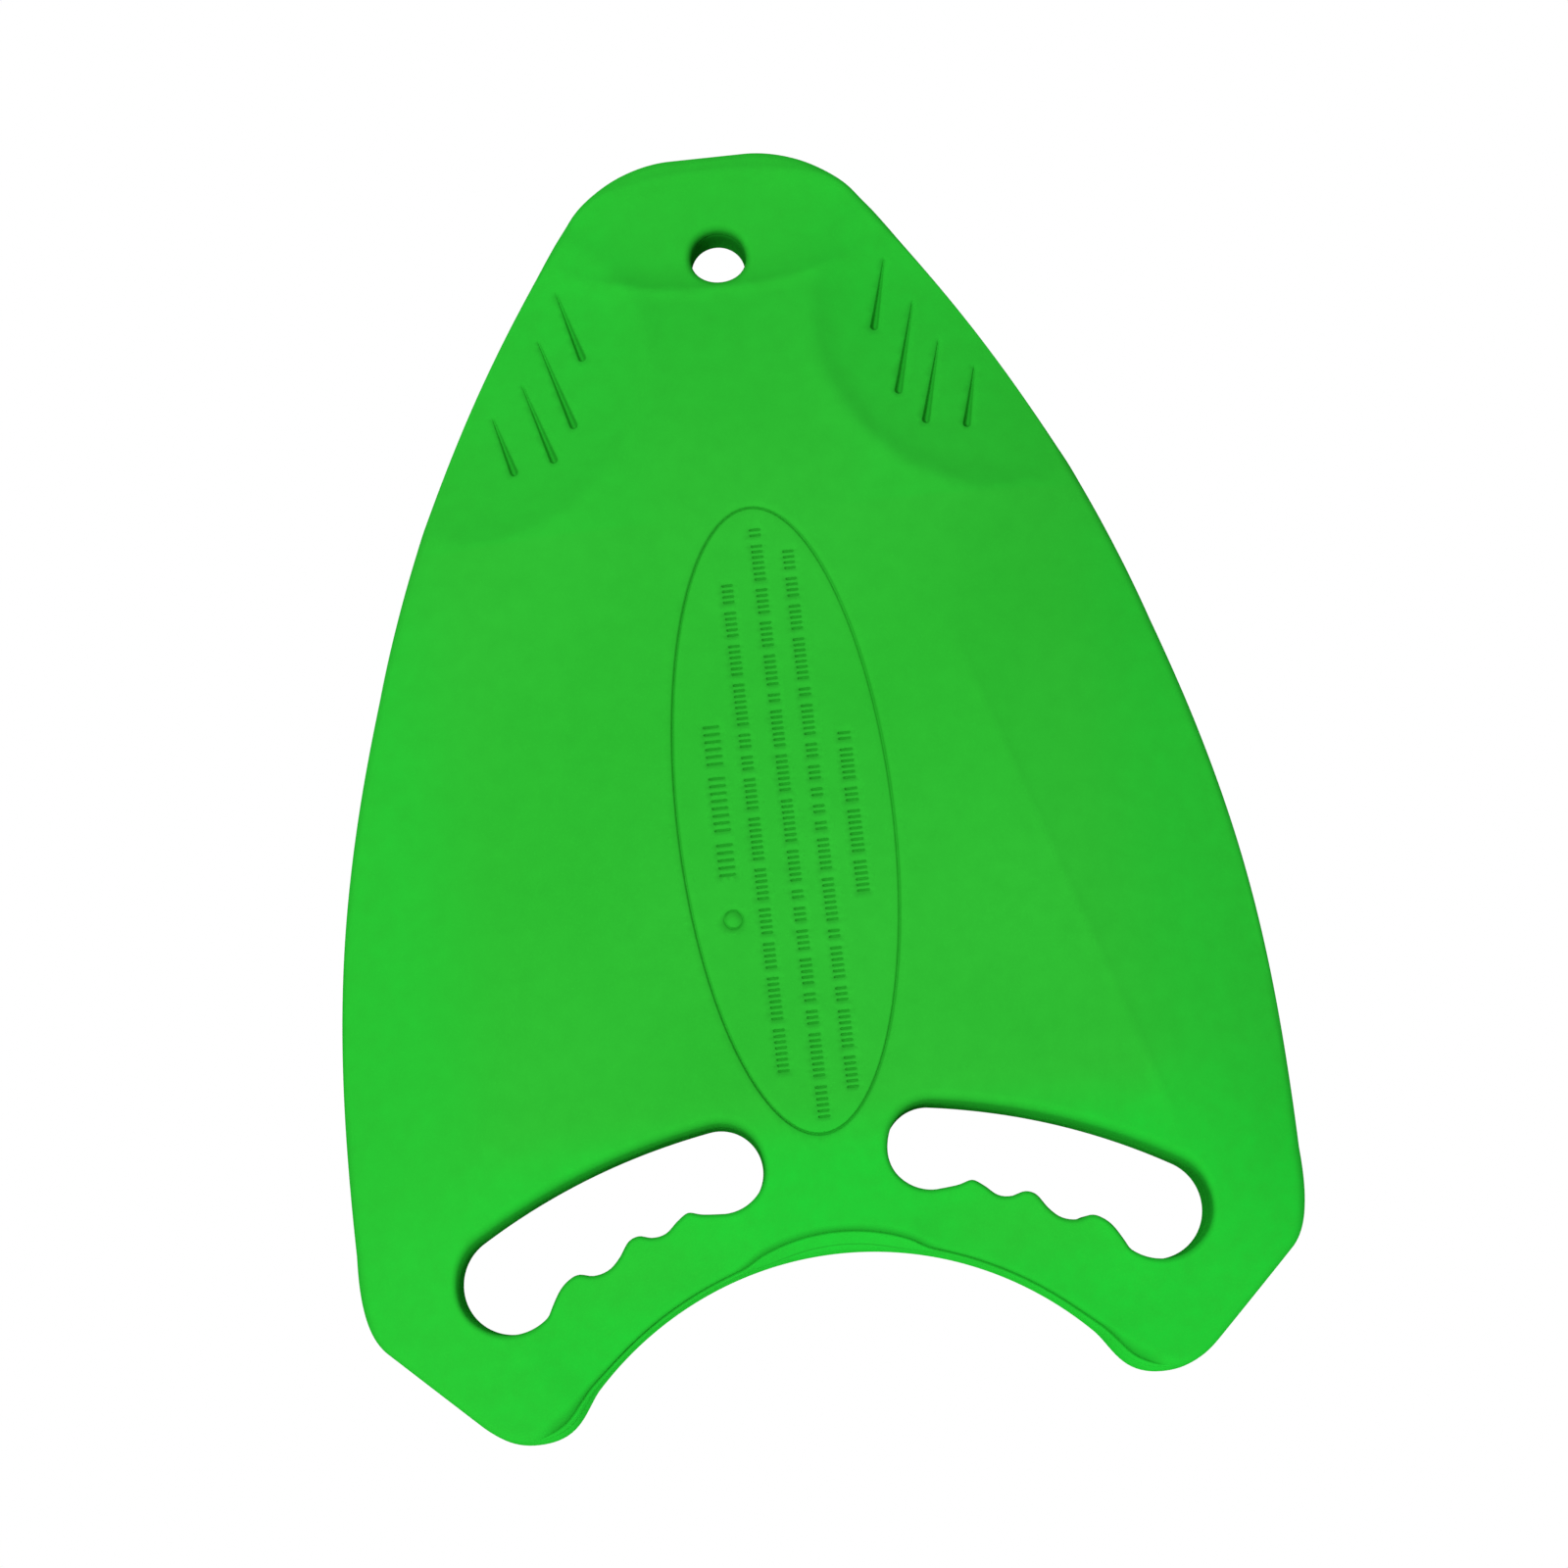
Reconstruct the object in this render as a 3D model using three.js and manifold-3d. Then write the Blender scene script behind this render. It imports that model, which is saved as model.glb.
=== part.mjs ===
// Kickboard float: a moulded foam swimming board, built as two bonded halves.
// Millimetres. +Y points to the nose, +X to the right hand, +Z up out of the deck.
// The origin is under the middle of the board, on the flat underside.

import * as THREE from 'three';
import { mergeVertices } from 'three/addons/utils/BufferGeometryUtils.js';
import Module from 'manifold-3d';

const wasm = await Module();
wasm.setup();

// ---- Driving dimensions -------------------------------------------------------------------

const NOSE_Y = 215;                 // front edge of the nose
const TAIL_Y = -215;                // tips of the two tail lobes
const HALF_WIDTH = 154;             // at the widest place, just ahead of the tail corners
const DECK_TOP = 30;                // thickest place, along the middle of the deck
const EDGE_TOP = 19;                // thickness along the sides
const NOSE_TOP = 21;                // thickness at the nose
const BOND_Z = 13;                  // height of the bond between the halves
const BOND_GAP = 0.3;
const WALL_DRAFT = 0.04;            // the walls lean in by this much per millimetre of height

// Tail bay: the round bite between the lobes. In its middle the wall's upper part is a wide chamfer,
// part of a cone that meets the wall at a given height and opens as it rises.
const BAY = { centreY: -277.2, radius: 111.6 };
const BAY_CHAMFER = { radius: 60, startZ: 14, flare: 0.55 };

// Nose hole and the hand slots. The slot's ends are arcs, and its tail side holds the fingers.
const NOSE_HOLE = { y: 178.2, radius: 9.3 };
const SLOT_INNER_END = { x: 34.1, y: -135.1, radius: 13.8 };
const SLOT_OUTER_END = { x: 105.2, y: -162.9, radius: 16.2 };

// Relief of the deck. At each place along the board: y, half-width of the raised deck, which is
// bounded by two ridges that spread towards the tail, and half-width of the whole board.
const RELIEF_KNOTS = [
  [-215, 136.5, 154], [-150, 117, 154], [0, 72, 138.5], [50, 57, 124.5], [100, 57, 106],
  [160, 34, 76], [215, 34, 40],
];
const SIDE_START = 0.45;            // share of the sides' fall that is a straight slope; the rest curves down
const RAMP_START_Y = 165;           // the deck starts to rise behind the nose pad here
const RAMP_END_Y = 70;
const TAIL_FALL = { startY: -120, slope: 0.13 };
// The deck between the ridges is slightly hollow
const VALLEY = { depth: 1.6, run: 34, noseY: 90, noseRun: 80, tailY: -125, tailRun: 60 };

// Oval dishes pressed into the deck: centre, half-lengths along and across, direction, depth, and
// the height of the soft raised rim.
const NOSE_PAD = { x: 0, y: 186, along: 58, across: 21, angle: 0, depth: 2.6, rim: 0.8 };
const GRIP_HOLLOW = { x: 78, y: 136, along: 56, across: 46, angle: -60, depth: 4.5, rim: 0.8 };
const HANDLE_DIP = { x: 62, y: -176, along: 40, across: 26, angle: -29.5, depth: 3, rim: 0 };
const RIM_WIDTH = 0.1;              // as a share of a dish's half-lengths

// Finger grooves in each grip hollow: narrow end, wide end
const GROOVES = [
  [[57.5, 172.5], [50.5, 145.5]],
  [[65.5, 156], [55.7, 120.5]],
  [[72.5, 140.5], [63.6, 108.7]],
  [[83.5, 129.5], [77.5, 106.5]],
];
const GROOVE_WIDTH = 3.2;
const GROOVE_DEPTH = 2.4;

// Oval panel in the middle of the deck
const PANEL = { y: -23, halfWidth: 35.5, halfLength: 105.5, depth: 0.8 };

const OUTLINE_STEPS = 18;           // straight pieces in each curve of the outline
const CHAMFER_FACETS = 120;
const PANEL_FACETS = 72;
const GROOVE_END_FACETS = 6;
const SLOT_SPACING = 3;             // distance between the points of a slot's outline
const RELIEF_STEP = 6.5;            // spacing of the deck's relief grid
const CLEARANCE = 10;               // how far a cutting solid reaches past what it cuts

// ---- Outlines -----------------------------------------------------------------------------

const degrees = THREE.MathUtils.degToRad;
const mirrored = (points) => points.map((p) => new THREE.Vector2(-p.x, p.y)).reverse();

// Right half of the board's outline, from the middle of the nose to the middle of the tail bay.
function rightHalfOutline() {
  const meetX = 81;                 // where the lobe's curve meets the round of the bay
  const meetAngle = Math.acos(meetX / BAY.radius);
  const meetY = BAY.centreY + BAY.radius * Math.sin(meetAngle);
  const path = new THREE.Path();
  path.moveTo(0, NOSE_Y);
  path.lineTo(13, NOSE_Y);
  path.bezierCurveTo(28, NOSE_Y, 44, 206, 50.6, 196.6);
  path.bezierCurveTo(90.2, 142.9, 116.1, 86.5, 130.9, 32.9);
  path.bezierCurveTo(150.2, -32, 156, -76, HALF_WIDTH, -149.5);
  path.bezierCurveTo(HALF_WIDTH + 0.5, -164, 153, -176, 146, -182.1);
  path.lineTo(119, -207.4);
  path.bezierCurveTo(112.9, -213.1, 108, TAIL_Y, 101.5, TAIL_Y);
  path.bezierCurveTo(88, TAIL_Y, 86, -206.5, meetX, meetY);
  path.absarc(0, BAY.centreY, BAY.radius, meetAngle, Math.PI / 2, false);
  return path.getPoints(OUTLINE_STEPS);
}

// Right hand slot: outer end, back along the fingers, inner end, then the nose side.
function rightSlotOutline() {
  const inner = SLOT_INNER_END;
  const outer = SLOT_OUTER_END;
  const outerStart = degrees(57);
  const fingers = [
    [90, -167.3], [86, -163.7], [82.5, -162.6], [78, -163.5], [73.5, -162.3], [70, -159.1], [66.5, -154.3],
    [62.5, -152.7], [58, -153.7], [54, -152.9], [50, -149.5], [46, -147.2], [41, -148.3],
    [inner.x, inner.y - inner.radius],
  ];
  const path = new THREE.Path();
  path.absarc(outer.x, outer.y, outer.radius, outerStart, degrees(-132), true);
  path.splineThru(fingers.map(([x, y]) => new THREE.Vector2(x, y)));
  path.absarc(inner.x, inner.y, inner.radius, degrees(-90), degrees(-278), true);
  path.quadraticCurveTo(78.5, -128.1, outer.x + outer.radius * Math.cos(outerStart),
    outer.y + outer.radius * Math.sin(outerStart));
  return path.getSpacedPoints(Math.round(path.getLength() / SLOT_SPACING)).slice(0, -1);
}

// The full outline, anticlockwise, with the nose hole and both slots cut out of it
function boardShape() {
  const right = rightHalfOutline();
  const slot = rightSlotOutline();
  const shape = new THREE.Shape([...right, ...mirrored(right).slice(1, -1)].reverse());
  const hole = new THREE.Path().absarc(0, NOSE_HOLE.y, NOSE_HOLE.radius, 0, 2 * Math.PI, false);
  shape.holes.push(hole, new THREE.Path(slot), new THREE.Path(mirrored(slot)));
  return shape;
}

// ---- Height of the deck ---------------------------------------------------------------------

const clamp01 = (t) => Math.min(1, Math.max(0, t));
const easeOut = (t) => 1 - (1 - clamp01(t)) ** 2;       // starts with a slope, ends level
const easeBoth = (t) => clamp01(t) ** 2 * (3 - 2 * clamp01(t));

// Half-widths of the raised deck and of the board at a place along it
function halfWidths(y) {
  const next = Math.max(1, RELIEF_KNOTS.findIndex(([knotY]) => knotY >= y));
  if (y > NOSE_Y) return RELIEF_KNOTS.at(-1).slice(1);
  const [[y0, ...from], [y1, ...to]] = RELIEF_KNOTS.slice(next - 1, next + 1);
  const part = clamp01((y - y0) / (y1 - y0));
  return from.map((value, i) => value + (to[i] - value) * part);
}

// Height along the middle: nose pad, ramp, level deck, and a fall towards the tail
function middleZ(y) {
  const ramp = easeOut((RAMP_START_Y - y) / (RAMP_START_Y - RAMP_END_Y));
  return NOSE_TOP + (DECK_TOP - NOSE_TOP) * ramp - TAIL_FALL.slope * Math.max(0, TAIL_FALL.startY - y);
}

function valleyDepth(inFromRidge, y) {
  const across = easeBoth(inFromRidge / VALLEY.run);
  const nose = easeBoth((VALLEY.noseY - y) / VALLEY.noseRun);
  const tail = easeBoth((y - VALLEY.tailY) / VALLEY.tailRun);
  return VALLEY.depth * across * nose * tail;
}

// Depth of an oval dish at a point, less its raised rim. The floor is nearly level.
function dishDepth(dish, x, y) {
  const place = new THREE.Vector2(x - dish.x, y - dish.y);
  place.rotateAround(new THREE.Vector2(), degrees(-dish.angle));
  const reach = Math.hypot(place.x / dish.along, place.y / dish.across);
  const rim = dish.rim * Math.exp(-(((reach - 1) / RIM_WIDTH) ** 2));
  return dish.depth * (1 - Math.min(1, reach) ** 4) - rim;
}

function deckZ(x, y) {
  const across = Math.abs(x);
  const middle = middleZ(y);
  const [ridge, edge] = halfWidths(y);
  const out = Math.max(0, (across - ridge) / (edge - ridge));
  const side = Math.min(1, SIDE_START * out + (1 - SIDE_START) * out ** 2);
  const dishes = [NOSE_PAD, GRIP_HOLLOW, HANDLE_DIP].map((dish) => dishDepth(dish, across, y));
  return middle - Math.max(0, middle - EDGE_TOP) * side - valleyDepth(ridge - across, y)
    - dishes.reduce((sum, depth) => sum + depth);
}

// ---- Solids -----------------------------------------------------------------------------------

// A closed three.js geometry as a solid for cutting and joining
function solid(geometry) {
  geometry.deleteAttribute('normal');
  geometry.deleteAttribute('uv');
  const merged = mergeVertices(geometry, 1e-4);
  return new wasm.Manifold(new wasm.Mesh({
    numProp: 3,
    vertProperties: new Float32Array(merged.attributes.position.array),
    triVerts: new Uint32Array(merged.index.array),
  }));
}

function box(lowZ, highZ) {
  const size = 2 * (NOSE_Y + CLEARANCE);
  const geometry = new THREE.BoxGeometry(size, size, highZ - lowZ);
  return solid(geometry.translate(0, 0, (lowZ + highZ) / 2));
}

// The whole outline with drafted walls, widest at the underside
function draftedBlank() {
  const height = DECK_TOP + CLEARANCE;
  const inset = height * WALL_DRAFT;
  const geometry = new THREE.ExtrudeGeometry(boardShape(), {
    depth: 0.01, bevelThickness: height, bevelSize: inset, bevelOffset: -inset, bevelSegments: 1,
  });
  return solid(geometry);
}

// Everything under the deck's surface
function underDeck() {
  const width = 2 * (HALF_WIDTH + CLEARANCE);
  const length = 2 * (NOSE_Y + CLEARANCE);
  const geometry = new THREE.BoxGeometry(width, length, 2, Math.round(width / RELIEF_STEP),
    Math.round(length / RELIEF_STEP));
  const points = geometry.attributes.position;
  for (let i = 0; i < points.count; i += 1) {
    const isTop = points.getZ(i) > 0;
    points.setZ(i, isTop ? deckZ(points.getX(i), points.getY(i)) : -CLEARANCE);
  }
  return solid(geometry);
}

// The chamfer in the middle of the tail bay: a cone that is tangent to the bay's wall
function bayCutter() {
  const radiusAt = (z) => BAY_CHAMFER.radius + BAY_CHAMFER.flare * (z - BAY_CHAMFER.startZ);
  const low = -CLEARANCE;
  const high = DECK_TOP + CLEARANCE;
  const geometry = new THREE.CylinderGeometry(radiusAt(high), radiusAt(low), high - low, CHAMFER_FACETS);
  const centreY = BAY.centreY + BAY.radius + WALL_DRAFT * BAY_CHAMFER.startZ - BAY_CHAMFER.radius;
  geometry.rotateX(Math.PI / 2).translate(0, centreY, (low + high) / 2);
  return solid(geometry);
}

// A groove is a wedge in plan, with a point at its narrow end and a full round at its wide end.
// Its floor starts just under the surface and is deepest at the wide end.
function grooveCutter([[narrowX, narrowY], [wideX, wideY]], side) {
  const narrow = new THREE.Vector3(side * narrowX, narrowY, deckZ(narrowX, narrowY) - GROOVE_DEPTH / 4);
  const wide = new THREE.Vector3(side * wideX, wideY, deckZ(wideX, wideY) - GROOVE_DEPTH);
  const length = narrow.distanceTo(wide);
  const radius = GROOVE_WIDTH / 2;
  const shape = new THREE.Shape().moveTo(-length, radius / 5);
  shape.lineTo(-length, -radius / 5).lineTo(0, -radius);
  shape.absarc(0, 0, radius, -Math.PI / 2, Math.PI / 2, false);
  const geometry = new THREE.ExtrudeGeometry(shape, {
    depth: DECK_TOP, bevelEnabled: false, curveSegments: GROOVE_END_FACETS,
  });
  const along = wide.clone().sub(narrow).normalize();
  const across = new THREE.Vector3(0, 0, 1).cross(along).normalize();
  const frame = new THREE.Matrix4().makeBasis(along, across, along.clone().cross(across));
  return solid(geometry.applyMatrix4(frame.setPosition(wide)));
}

// The oval over the deck, down to a floor that keeps the panel's depth everywhere
function panelCutter(deck) {
  const geometry = new THREE.CylinderGeometry(1, 1, 2 * CLEARANCE, PANEL_FACETS);
  geometry.rotateX(Math.PI / 2).scale(PANEL.halfWidth, PANEL.halfLength, 1);
  return solid(geometry.translate(0, PANEL.y, DECK_TOP)).subtract(deck.translate([0, 0, -PANEL.depth]));
}

// ---- The two halves -----------------------------------------------------------------------------

function deckHalf(blank) {
  const deck = underDeck();
  let half = blank.intersect(box(BOND_Z + BOND_GAP, DECK_TOP + CLEARANCE)).intersect(deck);
  half = half.subtract(panelCutter(deck));
  for (const groove of GROOVES) {
    for (const side of [-1, 1]) half = half.subtract(grooveCutter(groove, side));
  }
  return half;
}

function baseHalf(blank) {
  return blank.intersect(box(0, BOND_Z));
}

function foamMesh(name, half, colour) {
  const { vertProperties, triVerts } = half.getMesh();
  const geometry = new THREE.BufferGeometry();
  geometry.setAttribute('position', new THREE.BufferAttribute(vertProperties, 3));
  geometry.setIndex(new THREE.BufferAttribute(triVerts, 1));
  geometry.computeVertexNormals();
  const material = new THREE.MeshStandardMaterial({ color: colour, roughness: 0.6, metalness: 0 });
  const mesh = new THREE.Mesh(geometry, material);
  mesh.name = name;
  return mesh;
}

const blank = draftedBlank().subtract(bayCutter());
const kickboard = new THREE.Group();
kickboard.add(foamMesh('deck_half', deckHalf(blank), 0x2abb31));
kickboard.add(foamMesh('base_half', baseHalf(blank), 0x27b22e));

export default kickboard;
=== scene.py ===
"""Kickboard float: a moulded foam swimming board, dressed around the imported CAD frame.

The two CAD halves are replaced by finer closed meshes of the same board: the same outline, slots and hole
and nearly the same relief, with rounded edges, a lip along the bond line, a groove round the panel and sunk
ribs on it. Lengths and places are millimetres, as in the CAD part; meshes are written in metres.
"""

import math
import random

import bpy
import numpy as np
from mathutils import Matrix, Vector, kdtree
from mathutils.geometry import delaunay_2d_cdt


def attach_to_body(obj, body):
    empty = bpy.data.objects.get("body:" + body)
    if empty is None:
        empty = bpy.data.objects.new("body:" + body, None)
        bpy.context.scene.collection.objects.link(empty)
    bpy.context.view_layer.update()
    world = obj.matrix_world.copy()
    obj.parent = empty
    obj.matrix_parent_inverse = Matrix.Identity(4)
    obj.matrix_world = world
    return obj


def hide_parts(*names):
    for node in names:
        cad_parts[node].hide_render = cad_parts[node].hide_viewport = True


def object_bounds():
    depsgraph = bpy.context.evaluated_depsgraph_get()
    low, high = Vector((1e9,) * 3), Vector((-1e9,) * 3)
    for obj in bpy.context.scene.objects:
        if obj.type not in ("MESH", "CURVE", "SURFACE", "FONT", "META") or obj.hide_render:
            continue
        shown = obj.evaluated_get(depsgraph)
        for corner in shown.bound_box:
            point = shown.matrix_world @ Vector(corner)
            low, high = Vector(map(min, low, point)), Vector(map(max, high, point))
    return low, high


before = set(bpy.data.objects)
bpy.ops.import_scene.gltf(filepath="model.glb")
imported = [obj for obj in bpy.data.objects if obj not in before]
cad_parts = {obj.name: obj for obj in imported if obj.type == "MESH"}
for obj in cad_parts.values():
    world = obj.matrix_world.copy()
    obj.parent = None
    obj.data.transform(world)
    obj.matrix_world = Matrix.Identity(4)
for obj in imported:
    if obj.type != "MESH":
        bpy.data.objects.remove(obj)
cad_low, cad_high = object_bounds()

MM = 0.001
random.seed(11)

# ---- The board's dimensions, as in the CAD part ----------------------------------------------------

NOSE_Y = 215.0
TAIL_Y = -215.0
HALF_WIDTH = 154.0
DECK_TOP = 30.0
EDGE_TOP = 19.0
NOSE_TOP = 21.0
BOND_Z = 13.0
WALL_DRAFT = 0.04

BAY_CENTRE_Y, BAY_RADIUS, BAY_MEET_X = -277.2, 111.6, 81.0
BAY_LEAN_RADIUS, BAY_FLARE, CHAMFER_Z = 60.0, 0.55, 14.0
BAY_LEAN_CENTRE_Y = BAY_CENTRE_Y + BAY_RADIUS + WALL_DRAFT * CHAMFER_Z - BAY_LEAN_RADIUS

HOLE_Y, HOLE_RADIUS = 178.2, 9.3
SLOT_INNER = (34.1, -135.1, 13.8)
SLOT_OUTER = (105.2, -162.9, 16.2)
SLOT_FINGERS = [
    (90, -167.3), (86, -163.7), (82.5, -162.6), (78, -163.5), (73.5, -162.3), (70, -159.1), (66.5, -154.3),
    (62.5, -152.7), (58, -153.7), (54, -152.9), (50, -149.5), (46, -147.2), (41, -148.3),
]
SLOT_NOSE_BOW = (78.5, -128.1)

# Half-widths of the raised deck and of the board, at some places along it
RELIEF_Y = (-215.0, -150.0, 0.0, 50.0, 100.0, 160.0, 215.0)
RIDGE_X = (136.5, 117.0, 72.0, 57.0, 57.0, 34.0, 34.0)
RIM_X = (154.0, 154.0, 138.5, 124.5, 106.0, 76.0, 40.0)
SIDE_STRAIGHT, SIDE_CURVED, SIDE_DEEPEST = 0.45, 0.55, 1.1
CREST_HEIGHT, CREST_WIDTH = 0.3, 1.7
DECK_VALLEY, VALLEY_RUN = 1.6, 34.0
RAMP_START_Y, RAMP_END_Y, RAMP_SOFTNESS = 165.0, 70.0, 0.05
TAIL_FALL_START_Y, TAIL_FALL_SLOPE, TAIL_FALL_SOFTNESS = -120.0, 0.13, 8.0

# Oval dishes: centre x and y, half-lengths along and across, direction in degrees, depth
NOSE_PAD = (0, 186, 58, 21, 0, 2.6)
GRIP_HOLLOW = (78, 136, 56, 46, -60, 4.5)
HANDLE_DIP = (62, -176, 40, 26, -29.5, 3)
DISH_RIM = 0.8

# Grip grooves of the right side: narrow end, wide end
GROOVES = [
    ((57.5, 172.5), (50.5, 145.5)),
    ((65.5, 156.0), (55.7, 120.5)),
    ((72.5, 140.5), (63.6, 108.7)),
    ((83.5, 129.5), (77.5, 106.5)),
]
GROOVE_WIDTH, GROOVE_DEPTH = 3.2, 2.6

PANEL_Y, PANEL_HALF_WIDTH, PANEL_HALF_LENGTH = -23.0, 35.5, 105.5

# How far apart the points of each loop are
OUTLINE_SPACING, SLOT_SPACING, HOLE_SPACING, PANEL_SPACING = 1.6, 1.1, 1.2, 1.5

# ---- Curves ----------------------------------------------------------------------------------------


def line(a, b, count=40):
    t = np.linspace(0, 1, count)[:, None]
    return np.array(a, float) * (1 - t) + np.array(b, float) * t


def bezier(a, b, c, d, count=160):
    t = np.linspace(0, 1, count)[:, None]
    a, b, c, d = (np.array(p, float) for p in (a, b, c, d))
    return a * (1 - t) ** 3 + 3 * b * t * (1 - t) ** 2 + 3 * c * t**2 * (1 - t) + d * t**3


def quadratic(a, b, c, count=120):
    t = np.linspace(0, 1, count)[:, None]
    a, b, c = (np.array(p, float) for p in (a, b, c))
    return a * (1 - t) ** 2 + 2 * b * t * (1 - t) + c * t**2


def arc(x, y, radius, start, end, count=160):
    a = np.radians(np.linspace(start, end, count))
    return np.stack([x + radius * np.cos(a), y + radius * np.sin(a)], 1)


def spline(points, count=14):
    """Uniform Catmull-Rom through the points."""
    p = np.array(points, float)
    p = np.concatenate([p[:1], p, p[-1:]])
    parts = []
    for i in range(1, len(p) - 2):
        t = np.linspace(0, 1, count)[:, None]
        v0, v1 = (p[i + 1] - p[i - 1]) / 2, (p[i + 2] - p[i]) / 2
        parts.append(
            (2 * p[i] - 2 * p[i + 1] + v0 + v1) * t**3
            + (-3 * p[i] + 3 * p[i + 1] - 2 * v0 - v1) * t**2 + v0 * t + p[i]
        )
    return np.concatenate(parts)


def resample(points, spacing):
    """A closed curve's points, evenly spaced."""
    closed = np.concatenate([points, points[:1]])
    steps = np.hypot(*np.diff(closed, axis=0).T)
    closed = closed[np.concatenate([[True], steps > 1e-6])]
    at = np.concatenate([[0], np.cumsum(np.hypot(*np.diff(closed, axis=0).T))])
    count = int(round(at[-1] / spacing))
    want = np.linspace(0, at[-1], count, endpoint=False)
    return np.stack([np.interp(want, at, closed[:, k]) for k in (0, 1)], 1)


def mirrored(points):
    return (points * (-1, 1))[::-1]


def outer_loop():
    meet_angle = math.degrees(math.acos(BAY_MEET_X / BAY_RADIUS))
    meet = (BAY_MEET_X, BAY_CENTRE_Y + BAY_RADIUS * math.sin(math.radians(meet_angle)))
    right = np.concatenate([
        line((0, NOSE_Y), (13, NOSE_Y)),
        bezier((13, NOSE_Y), (28, NOSE_Y), (44, 206), (50.6, 196.6)),
        bezier((50.6, 196.6), (90.2, 142.9), (116.1, 86.5), (130.9, 32.9), 200),
        bezier((130.9, 32.9), (150.2, -32), (156, -76), (HALF_WIDTH, -149.5), 200),
        bezier((HALF_WIDTH, -149.5), (HALF_WIDTH + 0.5, -164), (153, -176), (146, -182.1)),
        line((146, -182.1), (119, -207.4)),
        bezier((119, -207.4), (112.9, -213.1), (108, TAIL_Y), (101.5, TAIL_Y)),
        bezier((101.5, TAIL_Y), (88, TAIL_Y), (86, -206.5), meet),
        arc(0, BAY_CENTRE_Y, BAY_RADIUS, meet_angle, 90),
    ])
    return resample(np.concatenate([right, mirrored(right)])[::-1], OUTLINE_SPACING)


def slot_loop():
    outer, inner = SLOT_OUTER, SLOT_INNER
    first = arc(*outer, 57, -132)
    fingers = [first[-1], *SLOT_FINGERS, (inner[0], inner[1] - inner[2])]
    last = arc(*inner, -90, -278)
    nose_side = quadratic(last[-1], SLOT_NOSE_BOW, first[0])
    return resample(np.concatenate([first, spline(fingers), last, nose_side]), SLOT_SPACING)


def hole_loop():
    return resample(arc(0, HOLE_Y, HOLE_RADIUS, 360, 0, 200), HOLE_SPACING)


def smooth(values, times):
    """Averages a closed curve's values with their neighbours'."""
    for _ in range(times):
        values = (np.roll(values, 1, 0) + 2 * values + np.roll(values, -1, 0)) / 4
    return values


def inward(points, times=2):
    """Unit normals into the material, which lies on the left of every loop."""
    along = np.roll(points, -1, 0) - np.roll(points, 1, 0)
    normal = smooth(np.stack([-along[:, 1], along[:, 0]], 1), times)
    return normal / np.hypot(*normal.T)[:, None]


class Inset:
    """Plan positions of a loop's points as they move into the material, without crossing."""

    STEP = 0.2

    def __init__(self, loop, deepest):
        levels = [loop]
        for _ in range(int(deepest / self.STEP) + 2):
            levels.append(levels[-1] + inward(levels[-1]) * self.STEP)
        self.levels = np.array(levels)

    def at(self, depth):
        depth = np.broadcast_to(depth, self.levels.shape[1:2]) / self.STEP
        low = np.clip(np.floor(depth).astype(int), 0, len(self.levels) - 2)
        part = (depth - low)[:, None]
        rows = np.arange(self.levels.shape[1])
        return self.levels[low, rows] * (1 - part) + self.levels[low + 1, rows] * part


# ---- Relief of the deck ----------------------------------------------------------------------------


def clamp01(t):
    return np.clip(t, 0, 1)


def ease_both(t):
    """Rises from 0 to 1 with a level start and end."""
    return clamp01(t) ** 2 * (3 - 2 * clamp01(t))


def soft_start(t, width):
    """max(0, t) with its corner rounded over about the given width."""
    return (t + np.sqrt(t * t + width * width)) / 2


def ease_out(t, width):
    """Rises from 0 to 1, steep at first, with its start rounded over about the given width."""
    t = np.minimum(1, soft_start(t, width))
    return 1 - (1 - t) ** 2


def dish(spec, x, y):
    """Depth of an oval dish, less its soft raised rim."""
    cx, cy, along, across, angle, depth = spec
    c, s = math.cos(math.radians(-angle)), math.sin(math.radians(-angle))
    u, v = (x - cx) * c - (y - cy) * s, (x - cx) * s + (y - cy) * c
    reach = np.hypot(u / along, v / across)
    rim = DISH_RIM * np.exp(-(((reach - 1.02) / 0.1) ** 2)) * (spec is not HANDLE_DIP)
    reach = 1 - soft_start(1 - reach, 0.05)
    return depth * (1 - np.maximum(reach, 0) ** 4) - rim


def ridge_x(y):
    """Half-width of the raised deck."""
    return np.interp(y, RELIEF_Y, RIDGE_X)


def deck_z(x, y):
    """Height of the deck's surface, without the grooves and the panel."""
    across, ridge = np.abs(x), ridge_x(y)
    ramp = ease_out((RAMP_START_Y - y) / (RAMP_START_Y - RAMP_END_Y), RAMP_SOFTNESS)
    fall = TAIL_FALL_SLOPE * soft_start(TAIL_FALL_START_Y - y, TAIL_FALL_SOFTNESS)
    middle = NOSE_TOP + (DECK_TOP - NOSE_TOP) * ramp - fall
    side = (across - ridge) / (np.interp(y, RELIEF_Y, RIM_X) - ridge)
    softness = 0.02 + 0.2 * ease_both((y - 20) / 60)
    crest = CREST_HEIGHT * np.exp(-(((across - ridge) / CREST_WIDTH) ** 2))
    crest = crest * ease_both((45 - y) / 30) * ease_both((y + 150) / 30)
    side = SIDE_STRAIGHT * soft_start(side, softness) + SIDE_CURVED * np.maximum(side, 0) ** 2
    valley = ease_both((ridge - across) / VALLEY_RUN) * ease_both((90 - y) / 80) * ease_both((y + 125) / 60)
    z = middle - np.maximum(0, middle - EDGE_TOP) * np.minimum(side, SIDE_DEEPEST)
    z = z - DECK_VALLEY * valley + crest
    for spec in (NOSE_PAD, GRIP_HOLLOW, HANDLE_DIP):
        z = z - dish(spec, across, y)
    return z


# ---- Walls -----------------------------------------------------------------------------------------

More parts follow.
